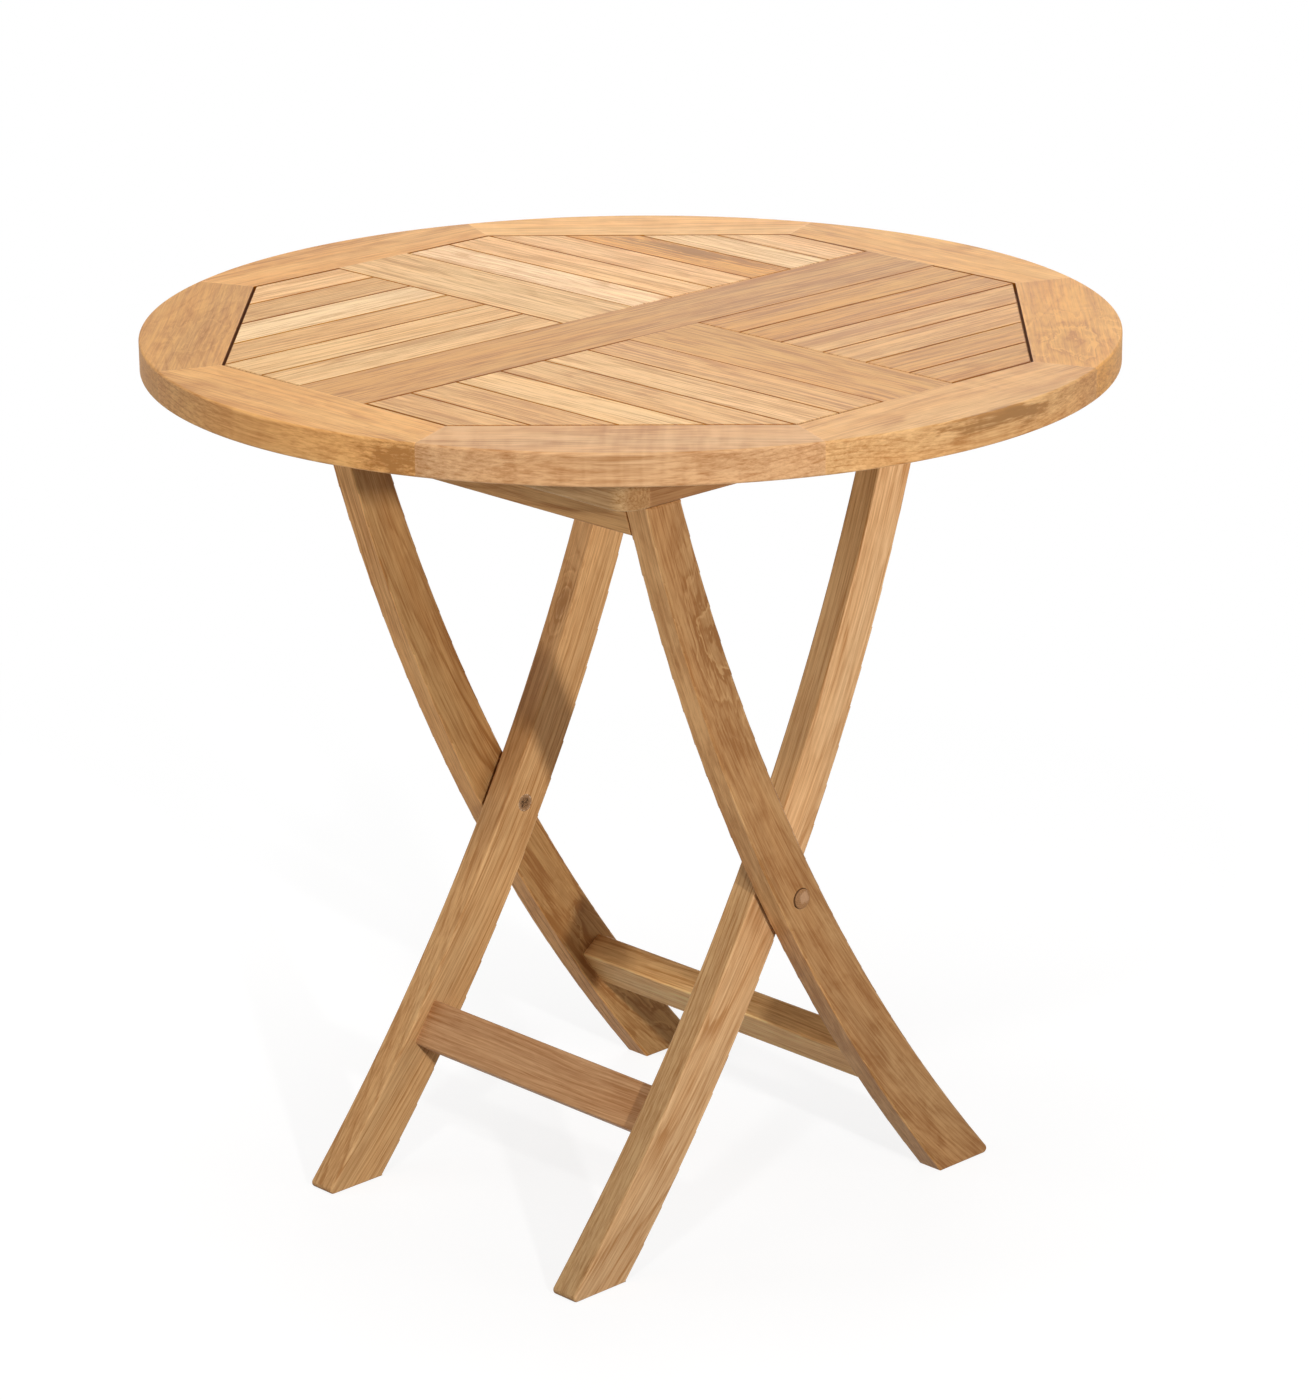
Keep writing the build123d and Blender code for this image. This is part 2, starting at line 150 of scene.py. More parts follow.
# What sets single boards apart: knots, swirls, a dark streak, and more or less figure. The keys are
# those of PLAIN_WOOD.
MARKS = {
    "rim_4": {
        "knot": (-0.276, 0.222, 0.747),
        "knot_size": 0.05,
        "knot_core": 0.1,
        "swirl": 0.2,
        "mottle": 0.55,
    },
    "rim_5": {
        "knot": (-0.376, -0.145, 0.732),
        "knot_size": 0.024,
        "knot_core": 0.5,
    },
    "rim_7": {
        "knot": (0.03, -0.4, 0.738),
        "knot_size": 0.012,
        "knot_length": 12.0,
        "knot_core": 0.75,
    },
    "rim_8": {
        "knot": (0.21, -0.3, 0.747),
        "knot_size": 0.05,
        "knot_core": 0.1,
        "figure": 0.22,
        "swirl": 0.4,
        "mottle": 0.8,
    },
    "inner_leg_left": {
        "knot": (0.057, 0.15, 0.462),
        "knot_size": 0.014,
        "knot_core": 0.3,
        "swirl": 0.4,
    },
    "outer_leg_left": {
        "knot": (0.15, 0.169, 0.085),
        "knot_size": 0.03,
        "knot_length": 4.0,
        "knot_core": 0.15,
        "swirl": 0.6,
        "figure": 0.95,
        "rings": 0.007,
        "streaks": 0.45,
        "mottle": 1.0,
    },
    "slat_rear_4": {
        "knot": (0.214, 0.155, 0.747),
        "knot_size": 0.024,
        "knot_length": 6.0,
        "knot_core": 0.75,
        "swirl": 0.4,
    },
    "outer_leg_right": {
        "knot": (-0.096, -0.195, 0.546),
        "knot_size": 0.03,
        "knot_core": 0.0,
        "swirl": 0.7,
        "figure": 0.3,
        "streaks": 0.35,
        "fine": 1.0,
        "mottle": 1.9,
    },
}


def display_colour(rgb):
    """Linear colour with alpha, from a display colour of 0 to 255."""
    linear = []
    for value in rgb:
        share = value / 255
        linear.append(share / 12.92 if share <= 0.04045 else ((share + 0.055) / 1.055) ** 2.4)
    return (*linear, 1)


# ---------------------------------------------------------------- shader building


class Graph:
    """Adds and links the nodes of one node tree."""

    def __init__(self, tree):
        self.tree = tree

    def feed(self, socket, value):
        """Links an output to a socket, or sets the socket's own value."""
        if isinstance(value, bpy.types.NodeSocket):
            self.tree.links.new(value, socket)
        else:
            socket.default_value = value

    def add(self, kind, sockets=None, **settings):
        """Adds a shader node. sockets and settings are its inputs and its own settings."""
        node = self.tree.nodes.new("ShaderNode" + kind)
        for name, value in settings.items():
            setattr(node, name, value)
        for key, value in (sockets or {}).items():
            self.feed(node.inputs[key], value)
        return node

    def math(self, operation, *values, clamp=False):
        """One operation on numbers."""
        node = self.add("Math", operation=operation, use_clamp=clamp)
        for socket, value in zip(node.inputs, values):
            self.feed(socket, value)
        return node.outputs[0]

    def scaled(self, vector, share):
        """A vector or colour times a number."""
        return self.add("VectorMath", {0: vector, "Scale": share}, operation="SCALE").outputs[0]

    def vector(self, operation, *values):
        """One operation on vectors or colours. Lengths and dot products are numbers."""
        node = self.add("VectorMath", operation=operation)
        for socket, value in zip(node.inputs, values):
            self.feed(socket, value)
        scalar = operation in ("LENGTH", "DOT_PRODUCT")
        return node.outputs["Value" if scalar else "Vector"]

    def noise(self, place, stretch, detail=2.0, roughness=0.5, distortion=0.0):
        """Noise from 0 to 1 with about one blob per 1 / stretch metres along each axis."""
        stretched = self.vector("MULTIPLY", place, stretch)
        sockets = {"Vector": stretched, "Scale": 1.0, "Detail": detail}
        sockets.update({"Roughness": roughness, "Distortion": distortion})
        return self.add("TexNoise", sockets).outputs[0]

    def spread(self, value, low, high, to_low=0.0, to_high=1.0):
        """Maps low..high to to_low..to_high, clamped, with a smooth start and end."""
        sockets = {"Value": value, "From Min": low, "From Max": high, "To Min": to_low, "To Max": to_high}
        return self.add("MapRange", sockets, interpolation_type="SMOOTHSTEP").outputs["Result"]

    def weighted(self, start, *terms):
        """start plus each weight times (value - 0.5)."""
        total = start
        for value, weight in terms:
            centred = self.math("SUBTRACT", value, 0.5)
            total = self.math("MULTIPLY_ADD", centred, weight, total)
        return total

    def mix(self, factor, first, second):
        """Blends two colours or vectors."""
        node = self.add("Mix", {"Factor": factor}, data_type="VECTOR")
        self.feed(node.inputs[4], first)
        self.feed(node.inputs[5], second)
        return node.outputs[1]

    def joined(self, *parts):
        """A vector from its parts; a part left out is 0."""
        return self.add("CombineXYZ", dict(enumerate(parts))).outputs[0]

    def bump(self, strength, depth, height):
        """The surface's direction, with relief of that depth in metres."""
        return self.add("Bump", {"Strength": strength, "Distance": depth, "Height": height}).outputs[0]

    def finish(self, sockets):
        """Ends a material with a Principled shader."""
        shader = self.add("BsdfPrincipled", sockets)
        self.add("OutputMaterial", {"Surface": shader.outputs[0]})


def emptied(owner):
    """The graph of a material's or world's own node tree, emptied."""
    owner.use_nodes = True
    owner.node_tree.nodes.clear()
    return Graph(owner.node_tree)


def node_material(name):
    """New material, with the graph of its empty node tree."""
    material = bpy.data.materials.new(name)
    return material, emptied(material)


def group_tree(name, inputs, outputs):
    """Empty node group with named sockets. Returns its graph and its input and output nodes."""
    tree = bpy.data.node_groups.new(name, "ShaderNodeTree")
    for socket, kind in inputs.items():
        tree.interface.new_socket(socket, in_out="INPUT", socket_type="NodeSocket" + kind)
    for socket, kind in outputs.items():
        tree.interface.new_socket(socket, in_out="OUTPUT", socket_type="NodeSocket" + kind)
    return Graph(tree), tree.nodes.new("NodeGroupInput").outputs, tree.nodes.new("NodeGroupOutput").inputs


# ---------------------------------------------------------------- teak

# Darkest and lightest grain, a knot's core, end grain and painted shade in open joints, as shares of the
# tone
DARK_SHARE = (0.66, 0.53, 0.39)
CORE_SHARE = (0.68, 0.74, 0.82)
LIGHT_SHARE = (1.12, 1.17, 1.25)
END_SHARE = (0.72, 0.62, 0.52)
SEAM_SHADE_SHARE = (0.5, 0.3, 0.02)
WORN_AND_HIGHLIGHT_GAIN = (0.16, 0.2, 0.26)  # how much lighter a fully rubbed arris is, from rubbing and a painted highlight
REDDER = (1.02, 0.985, 0.94)
GREYER = (0.985, 1.01, 1.04)
WANDER = 0.012  # how far the grain strays sideways
UNEVEN_RINGS = 2.2  # how many rings' width the spacing of the rings may stray
KNOT_PUSH = 3.5  # how many rings' width a knot pushes the rings aside
CURL_TURNS = 2.4  # curled lines round a knot, in each knot size
CURL_WARP = 2.6  # how far soft blotches bend them
DEEPEST, PALEST = -0.25, 1.3  # limits of the blend from the dark share at 0 to the light share at 1
BRIGHTEST = (0.93, 0.93, 0.93)

# What a board's material is told when nothing else is said. Lengths are in metres.
PLAIN_WOOD = {
    "bow": 0.0,  # how strongly the grain bends, as metres of bend at one metre along
    "rings": 0.0048,  # width of a growth ring
    "figure": 0.4,  # darkness of the rings
    "ripple": 0.0,  # strength of the bands across the grain
    "broad": (1.0, 1.0, 1.0),  # painted light: colour of the broad faces, as shares of the narrow ones'
    "seams": (0.0, 0.0, 0.0),  # 1 where the board's right and left narrow faces line an open joint, darkened as painted shade
    "worn": 1.0,  # how much lighter the arrises are, from rubbing and, above 1, a painted highlight
    "mottle": 0.6,  # strength of soft blotches
    "streaks": 1.0,  # strength of bands and streaks along the grain
    "fine": 1.0,  # strength of fibres, pores and flecks
    "fade": 0.0,  # painted shade: how much lighter the board gets in each metre along
    "arris": 0.004,  # how far from an edge it is rubbed
    "swirl": 0.0,  # strength of the curled lines round a knot
    "knot": (9.0, 9.0, 9.0),  # place in the frame, here too far off to be seen
    "knot_size": 0.001,
    "knot_length": 2.5,  # how many times longer than wide it is
    "knot_core": 0.7,  # darkness of its core
}


def socket_name(key):
    """What the teak group calls the socket for a key of PLAIN_WOOD."""
    return key.replace("_", " ").title()


def teak_group():
    """Sawn teak in a board's own frame: X along the grain, Y across the board and Z through it."""
    inputs = {"Place": "Vector", "Facing": "Vector", "Piece": "Vector", "Tone": "Color", "Pith": "Vector"}
    for key, value in PLAIN_WOOD.items():
        inputs[socket_name(key)] = "Vector" if isinstance(value, tuple) else "Float"
    outputs = {"Color": "Color", "Roughness": "Float", "Height": "Float"}
    g, given, result = group_tree("teak", inputs, outputs)

    # The grain follows a bent board, and wanders a little everywhere
    parts = g.add("SeparateXYZ", {0: given["Place"]}).outputs
    bend = g.math("MULTIPLY", g.math("MULTIPLY", parts[0], parts[0]), given["Bow"])
    straight = g.joined(parts[0], g.math("SUBTRACT", parts[1], bend), parts[2])
    place = g.vector("ADD", straight, given["Piece"])
    stray = g.math("SUBTRACT", g.noise(place, (3.0, 9.0, 9.0), 2.0), 0.5)
    sideways = g.scaled(g.joined(0.0, stray, stray), WANDER)
    place = g.vector("ADD", place, sideways)
    straight = g.vector("ADD", straight, sideways)

    # Growth rings around a pith that lies beside the board and leans from its grain
    pith = g.add("SeparateXYZ", {0: given["Pith"]}).outputs
    local = g.add("SeparateXYZ", {0: straight}).outputs
    lean = g.math("MULTIPLY", local[0], pith[0])
    across = g.math("SUBTRACT", local[1], pith[1])
    through = g.math("SUBTRACT", g.math("SUBTRACT", local[2], pith[2]), lean)
    distance = g.vector("LENGTH", g.joined(0.0, across, through))
    turns = g.math("DIVIDE", distance, given["Rings"])
    uneven = g.noise(place, (2.5, 30.0, 30.0), 3.0, 0.55)
    turns = g.math("MULTIPLY_ADD", uneven, UNEVEN_RINGS, turns)

    # A small knot pushes the rings aside, curls the grain round it and is darker in its core
    cloud = g.noise(place, (22.0, 60.0, 60.0), 3.0, 0.6, 0.6)
    streaks = g.noise(place, (5.0, 290.0, 290.0), 4.0, 0.65)
    squeeze = g.joined(g.math("DIVIDE", 1.0, given["Knot Length"]), 1.0, 1.0)
    from_knot = g.vector("MULTIPLY", g.vector("SUBTRACT", straight, given["Knot"]), squeeze)
    from_knot = g.math("DIVIDE", g.vector("LENGTH", from_knot), given["Knot Size"])
    knot = g.math("EXPONENT", g.math("MULTIPLY", g.math("MULTIPLY", from_knot, from_knot), -1.0))
    turns = g.math("MULTIPLY_ADD", knot, KNOT_PUSH, turns)
    core = g.spread(g.weighted(from_knot, (cloud, 0.9), (streaks, 1.8)), 0.8, 0.1)
    core = g.math("MULTIPLY", core, given["Knot Core"])
    turn = g.math("FRACT", g.weighted(g.math("MULTIPLY", from_knot, CURL_TURNS), (cloud, CURL_WARP)))
    dark_curl = g.math("MULTIPLY", g.spread(turn, 0.0, 0.1), g.spread(turn, 0.12, 0.45, 1.0, 0.0))
    light_curl = g.spread(turn, 0.78, 0.95)
    curl = g.math("MULTIPLY", g.math("SUBTRACT", light_curl, dark_curl), knot)

    saw = g.math("FRACT", turns)
    rise = g.spread(saw, 0.0, 0.08)
    fall = g.spread(saw, 0.08, 0.38, 1.0, 0.0)
    ring = g.math("MULTIPLY", rise, fall)
    clarity = g.spread(g.noise(place, (4.0, 26.0, 26.0), 2.0), 0.35, 0.7, 0.2, 1.0)
    ring = g.math("MULTIPLY", ring, clarity)

    # Streaks, fibres, pores and pale flecks, each longer along the grain than across it
    bands = g.noise(place, (1.6, 50.0, 50.0), 3.0, 0.6)
    fibres = g.noise(place, (12.0, 520.0, 520.0), 3.0, 0.7)
    pores = g.spread(g.noise(place, (45.0, 1000.0, 1000.0), 1.0), 0.6, 0.72)
    flecks = g.spread(g.noise(place, (60.0, 600.0, 600.0), 1.0), 0.63, 0.74)
    drift = g.noise(place, (2.6, 11.0, 11.0), 3.0)
    ripple = g.noise(place, (85.0, 9.0, 9.0), 2.0, 0.5, 0.3)
    ripple_here = g.spread(g.noise(place, (7.0, 14.0, 14.0), 1.0), 0.4, 0.6, 0.25, 1.0)
    ripple = g.math("MULTIPLY", g.math("SUBTRACT", ripple, 0.5), ripple_here)

    lines = g.weighted(0.0, (bands, 0.85), (streaks, 1.1))
    clouds = g.weighted(0.6, (drift, 1.0), (cloud, given["Mottle"]))
    light = g.math("MULTIPLY_ADD", lines, given["Streaks"], clouds)
    fine = g.weighted(0.0, (fibres, 2.4))
    fine = g.math("MULTIPLY_ADD", pores, -0.22, fine)
    fine = g.math("MULTIPLY_ADD", flecks, 0.16, fine)
    light = g.math("MULTIPLY_ADD", fine, given["Fine"], light)
    light = g.math("SUBTRACT", light, g.math("MULTIPLY", ring, given["Figure"]))
    light = g.math("MULTIPLY_ADD", curl, given["Swirl"], light)
    light = g.math("SUBTRACT", light, core)
    light = g.math("MULTIPLY_ADD", ripple, given["Ripple"], light)
    light = g.math("MINIMUM", g.math("MAXIMUM", light, DEEPEST), PALEST)

    dark_tone = g.vector("MULTIPLY", given["Tone"], DARK_SHARE)
    light_tone = g.vector("MULTIPLY", given["Tone"], LIGHT_SHARE)
    colour = g.mix(light, dark_tone, light_tone)
    colour = g.mix(core, colour, g.vector("MULTIPLY", colour, CORE_SHARE))

    # Greyer and redder patches as the heartwood varies
    hue = g.spread(g.noise(place, (3.5, 30.0, 30.0), 2.0), 0.3, 0.7)
    colour = g.vector("MULTIPLY", colour, g.mix(hue, REDDER, GREYER))

    # Painted shade: a board may be darker toward one end, by its fade in each metre
    colour = g.scaled(colour, g.math("MULTIPLY_ADD", parts[0], given["Fade"], 1.0))

    # Painted light: broad and narrow faces of a board get different tints, and faces inside open joints
    # are darkened as painted shade
    facing = g.add("SeparateXYZ", {0: given["Facing"]}).outputs
    broad = g.spread(g.math("ABSOLUTE", facing[2]), 0.5, 0.85)
    colour = g.mix(broad, colour, g.vector("MULTIPLY", colour, given["Broad"]))
    seams = g.add("SeparateXYZ", {0: given["Seams"]}).outputs
    seam_shade = g.math("MULTIPLY", g.spread(facing[1], 0.2, 0.6), seams[0])
    other_side = g.spread(g.math("MULTIPLY", facing[1], -1.0), 0.2, 0.6)
    seam_shade = g.math("MULTIPLY_ADD", other_side, seams[1], seam_shade)
    colour = g.mix(seam_shade, colour, g.vector("MULTIPLY", colour, SEAM_SHADE_SHARE))

    # End grain drinks more of the light
    end = g.spread(g.math("ABSOLUTE", facing[0]), 0.55, 0.9)
    colour = g.mix(end, colour, g.vector("MULTIPLY", colour, END_SHARE))

    # Arrises are rubbed lighter, and high shares of it paint a highlight along them
    rounded = g.add("Bevel", {"Radius": given["Arris"]}, samples=4).outputs[0]
    sharp = g.add("NewGeometry").outputs["Normal"]
    alike = g.vector("DOT_PRODUCT", rounded, sharp)
    open_edge = g.math("SUBTRACT", 1.0, seam_shade, clamp=True)
    edge = g.math("MULTIPLY", g.spread(alike, 0.99, 0.86), open_edge)
    scuffs = g.spread(g.noise(place, (60.0, 150.0, 150.0), 3.0, 0.65), 0.3, 0.62, 0.25, 0.95)
    rubbed_and_highlit = g.math("MULTIPLY", edge, scuffs)
    gain = g.scaled(WORN_AND_HIGHLIGHT_GAIN, g.math("MULTIPLY", rubbed_and_highlit, given["Worn"]))
    colour = g.vector("MULTIPLY_ADD", colour, gain, colour)
    colour = g.vector("MINIMUM", colour, BRIGHTEST)
    g.feed(result["Color"], colour)

    rough = g.weighted(0.56, (fibres, 0.16), (drift, 0.12), (streaks, 0.1))
    rough = g.math("MULTIPLY_ADD", end, 0.16, rough)
    rough = g.math("MULTIPLY_ADD", rubbed_and_highlit, -0.08, rough)
    g.feed(result["Roughness"], rough)

    height = g.weighted(0.5, (fibres, 0.9), (streaks, 0.8), (bands, 0.3))
    height = g.math("SUBTRACT", height, g.math("MULTIPLY", pores, 0.8))
    height = g.math("SUBTRACT", height, g.math("MULTIPLY", ring, 0.35))
    height = g.math("MULTIPLY_ADD", ripple, 0.6, height)
    g.feed(result["Height"], height)
    return g.tree


teak = teak_group()


def teak_material(name, tone, along, through, pith, **wood):
    """One board's material. along is its grain and through its thickness, as directions in the frame.
    wood is what differs from plain wood, with the knot as a place in the frame."""
    wood = PLAIN_WOOD | wood | MARKS.get(name, {})
    centre = middle(name)
    x_axis = Vector(along).normalized()
    z_axis = Vector(through).normalized()
    axes = Matrix((x_axis, z_axis.cross(x_axis), z_axis))
    turn = axes.transposed().to_euler()
    knot = axes @ (Vector(wood["knot"]) - centre)
    knot.y -= wood["bow"] * knot.x**2
    wood["knot"] = knot
    draw = random.Random(name)
    piece = [draw.uniform(2.0, 40.0) for _ in range(3)]
    material, g = node_material(name)
    coordinates = g.add("TexCoord").outputs
    place_sockets = {"Vector": coordinates["Object"], "Location": centre, "Rotation": turn}
    place = g.add("Mapping", place_sockets, vector_type="TEXTURE").outputs[0]
    facing_sockets = {"Vector": coordinates["Normal"], "Rotation": turn}
    facing = g.add("Mapping", facing_sockets, vector_type="TEXTURE").outputs[0]
    given = {"Place": place, "Facing": facing, "Piece": piece, "Pith": pith}
    given["Tone"] = display_colour(TONES[tone])
    for key, value in wood.items():
        given[socket_name(key)] = value
    grain = g.add("Group", given, node_tree=teak).outputs
    sockets = {
        "Base Color": grain["Color"],
        "Roughness": grain["Roughness"],
        "Normal": g.bump(strength=0.3, depth=0.00025, height=grain["Height"]),
        "IOR": 1.45,
        "Specular IOR Level": 0.2,
        "Sheen Weight": 0.04,
        "Sheen Roughness": 0.5,
    }
    g.finish(sockets)
    return material


# Painted light: the colour of the top's upper and lower faces, as shares of its edges', tinted for how
# the light falls on them
TOP_FACES_PAINTED_LIGHT = (1.0, 0.995, 0.94)
SLAT_WOOD = {
    "seams": (1, 1, 0),
    "broad": TOP_FACES_PAINTED_LIGHT,
    "worn": 0.25,
    "arris": 0.0015,
    "figure": 0.35,
    "streaks": 1.6,
    "fine": 1.6,
}
RIM_WOOD = {
    "seams": (1, 0, 0),
    "broad": TOP_FACES_PAINTED_LIGHT,
    "worn": 0.8,
    "figure": 0.4,
    "mottle": 1.2,
    "streaks": 0.8,
    "fine": 0.8,
}
# The legs' worn share above 1 adds a painted highlight along their arrises
LEG_WOOD = {"rings": 0.0055, "figure": 0.5, "streaks": 0.75, "worn": 1.3}
LEG_BOW = 0.35  # how strongly the grain follows the legs' bend
BAR_WOOD = {"streaks": 0.8}
# The apron's worn share of 2.5 is mostly a painted highlight along its lower arrises
APRON_WOOD = {"figure": 0.15, "worn": 2.5}


def dress_top():
    """Rim, rails and slats, each with its own stretch of grain."""
    for index, tone in enumerate(RIM_TONES):
        angle = 2 * pi * index / len(RIM_TONES)
        outward = Vector((cos(angle), sin(angle), 0))
        name = f"rim_{index + 1}"
        draw = random.Random("pith " + name)
        pith = (draw.uniform(-0.05, 0.05), draw.uniform(-0.05, 0.05), -draw.uniform(0.05, 0.12))
        wood = RIM_WOOD | {"ripple": RIM_RIPPLES[index]}
        dress(name, teak_material(name, tone, Z.cross(outward), Z, pith, **wood))
    runs = {"rear": Y, "left": X, "front": Y, "right": X}
    for side, tones in SLAT_TONES.items():
        for index, tone in enumerate(tones):
            name = f"slat_{side}_{index + 1}"
            dress_board(name, tone, runs[side], Z, **SLAT_WOOD)
    for name, along in (("main_rail", X), ("cross_rail_left", Y), ("cross_rail_right", Y)):
        dress_board(name, OTHER_TONES[name], along, Z, **SLAT_WOOD)


def dress_board(name, tone, along, through, **wood):
    """A straight board, with its pith drawn from its name."""
    draw = random.Random("pith " + name)
    pith = (draw.uniform(-0.06, 0.06), draw.uniform(-0.09, 0.09), -draw.uniform(0.03, 0.11))
    dress(name, teak_material(name, tone, along, through, pith, **wood))


def dress_frame():
    """Legs, bars and apron."""
    for pair, facing in (("inner", 1), ("outer", -1)):
        for side in ("left", "right"):
            name = f"{pair}_leg_{side}"
            low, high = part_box(name)
            run = Vector((facing * (high.x - low.x), 0, high.z - low.z))
            wood = {"bow": -facing * LEG_BOW, "fade": LEG_SHADE_FADES[pair], "broad": LEG_FACES_PAINTED_LIGHT[name]}
            dress_board(name, OTHER_TONES[name], run, Y, **(LEG_WOOD | wood))
        stretcher = f"{pair}_stretcher"
        dress_board(stretcher, OTHER_TONES[stretcher], Y, X, **BAR_WOOD, broad=STRETCHER_FACES_PAINTED_LIGHT[pair])
        crossbar = f"{pair}_crossbar"
        dress_board(crossbar, OTHER_TONES[crossbar], Y, X, **BAR_WOOD)
    for name in ("apron_left", "apron_right"):
        dress_board(name, OTHER_TONES[name], X, Y, **APRON_WOOD)
    for name in ("apron_front", "apron_rear"):
        dress_board(name, OTHER_TONES[name], Y, X, **APRON_WOOD)
    for name in ("rim_splines", "apron_dowels"):
        dress_board(name, OTHER_TONES[name], X, Z)


# ---------------------------------------------------------------- steel

STEEL_DARK = (0.36, 0.35, 0.33)
STEEL_LIGHT = (0.66, 0.65, 0.63)


def steel_material():
    """Brushed and slightly dulled steel of the bolts, nuts, washers and screws."""
    material, g = node_material("steel")
    place = g.add("TexCoord").outputs["Object"]
    brushed = g.noise(place, (900.0, 2500.0, 900.0), 2.0)
    dull = g.noise(place, (120.0, 120.0, 120.0), 3.0, 0.6)
    tint = g.weighted(0.5, (brushed, 0.5), (dull, 0.9))
    colour = g.mix(tint, STEEL_DARK, STEEL_LIGHT)
    rough = g.weighted(0.36, (dull, 0.3), (brushed, 0.15))
    normal = g.bump(strength=0.3, depth=0.0001, height=brushed)
    g.finish({"Base Color": colour, "Roughness": rough, "Metallic": 1.0, "Normal": normal})
    return material


def dress_fasteners():
    """Bolts, nuts, washers, spacers and screws, all of one steel."""
    steel = steel_material()
    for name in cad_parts:
        if name.endswith(("_bolts", "_nuts", "_washers", "_spacers", "_screws")):
            dress(name, steel)


# ---------------------------------------------------------------- round plugs

PLUG_DARK = (0.24, 0.115, 0.045)
PLUG_LIGHT = (0.44, 0.22, 0.088)
PLUG_HIGHLIGHT = (0.58, 0.34, 0.19)
PLUG_JOINT_AND_SHADE = (0.12, 0.055, 0.02)
PLUG_EDGE = 0.0077  # where the dark joint line and its painted shade start, from the plug's axis


def from_pivot(g, place, centre):
    """Distance from the axis of a bolt along Y, and the place as seen along it."""
    offset = g.vector("SUBTRACT", place, (centre.x, 0.0, centre.z))
    flat = g.vector("MULTIPLY", offset, (1.0, 0.0, 1.0))
    return g.vector("LENGTH", flat), flat


def plug_material(name, axis):
    """Domed plug: swirled end grain, a painted highlight on its dome, and a dark joint line with painted
    shade round its edge.
    """
    material, g = node_material(name)
    place = g.add("TexCoord").outputs["Object"]
    radius, flat = from_pivot(g, place, axis)
    warp = g.math("SUBTRACT", g.noise(place, (170.0, 170.0, 170.0), 2.0), 0.5)
    swirl = g.vector("LENGTH", g.vector("ADD", flat, (0.004, 0.0, -0.003)))
    swirl = g.math("SINE", g.math("MULTIPLY_ADD", swirl, 3400.0, g.math("MULTIPLY", warp, 14.0)))
    torn = g.noise(place, (500.0, 500.0, 500.0), 3.0, 0.65)
    light = g.weighted(0.45, (torn, 0.9), (swirl, 0.16))
    colour = g.mix(light, PLUG_DARK, PLUG_LIGHT)
    # Painted highlight: a pale spot on the dome, a little off its middle
    painted_highlight = g.vector("LENGTH", g.vector("ADD", flat, (-0.0015, 0.0, -0.001)))
    painted_highlight = g.spread(g.weighted(painted_highlight, (torn, 0.006), (warp, 0.004)), 0.0042, 0.0012, 0.0, 0.6)
    colour = g.mix(painted_highlight, colour, PLUG_HIGHLIGHT)
    # Dark joint line round the edge, deepened into painted shade on the plug's side
    edge = g.spread(g.weighted(radius, (warp, 0.0008)), PLUG_EDGE, PLUG_EDGE + 0.0006)
    colour = g.mix(edge, colour, PLUG_JOINT_AND_SHADE)
    rough = g.weighted(0.6, (torn, 0.3))
    relief = g.weighted(0.5, (torn, 0.7), (swirl, 0.3))
    normal = g.bump(strength=0.7, depth=0.0003, height=relief)
    g.finish({"Base Color": colour, "Roughness": rough, "Normal": normal, "Specular IOR Level": 0.2})
    return material


def dress_plugs():
    """The plugs over the bolts' heads."""
    for name in ("scissor_plugs", "hinge_plugs"):
        dress(name, plug_material(name, middle(name)))


# ---------------------------------------------------------------- rough plugs over the pivot nuts

CAP_RADIUS = 0.0076
CAP_THICKNESS = 0.0007
CAP_DEPTH = 0.0002  # how far the cap lies behind the leg's face
CAP_RINGS = 14
CAP_SPOKES = 48
CAP_ROUGH = 0.0001  # depth of the torn front
CAP_TEARS = 700  # how often it is torn, in each metre
CAP_SCRATCH = (0.02, 0.008, 0.003)
CAP_MIDDLE = (0.37, 0.19, 0.08)
CAP_EDGE = (0.38, 0.21, 0.1)
CAP_SPLINTER = (0.72, 0.5, 0.33)


def cap_material():
    """Torn end grain: dark scratches in the middle and pale splinters at the edge."""
    material, g = node_material("pivot_caps")
    place = g.add("TexCoord").outputs["Object"]
    parts = g.add("SeparateXYZ", {0: place}).outputs
    height = g.math("SUBTRACT", parts[2], middle("scissor_nuts").z)
    radius = g.vector("LENGTH", g.joined(parts[0], height))
    along = g.math("SUBTRACT", parts[0], height)
    across = g.math("ADD", parts[0], height)
    scratches = g.noise(g.joined(along, across), (1300.0, 240.0, 1.0), 3.0, 0.6, 0.4)
    torn = g.noise(place, (420.0, 420.0, 420.0), 3.0, 0.65)
    middle_share = g.spread(g.weighted(radius, (torn, 0.004)), 0.0062, 0.0035)
    scratch_share = g.spread(scratches, 0.46, 0.55)
    colour = g.mix(scratch_share, CAP_SCRATCH, CAP_MIDDLE)
    colour = g.mix(middle_share, CAP_EDGE, colour)
    at_edge = g.spread(g.weighted(radius, (torn, 0.003)), 0.0066, 0.0074)
    splinters = g.math("MULTIPLY", at_edge, g.spread(torn, 0.45, 0.6))
    colour = g.mix(splinters, colour, CAP_SPLINTER)
    rough = g.weighted(0.75, (scratches, 0.3))
    relief = g.weighted(0.5, (scratches, 1.0), (torn, 0.6))
    normal = g.bump(strength=0.7, depth=0.0004, height=relief)
    g.finish({"Base Color": colour, "Roughness": rough, "Normal": normal, "Specular IOR Level": 0.2})
    return material


def build_caps():
    """A rough wooden plug in each nut hole of the scissor pivot, seen on the inner legs' inside faces."""
    material = cap_material()
    for side, name in ((1, "left"), (-1, "right")):
        low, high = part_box(f"inner_leg_{name}")
        face = low.y if side > 0 else high.y
        add_cap(f"pivot_cap_{name}", cap_points(face, side), cap_faces(), material)


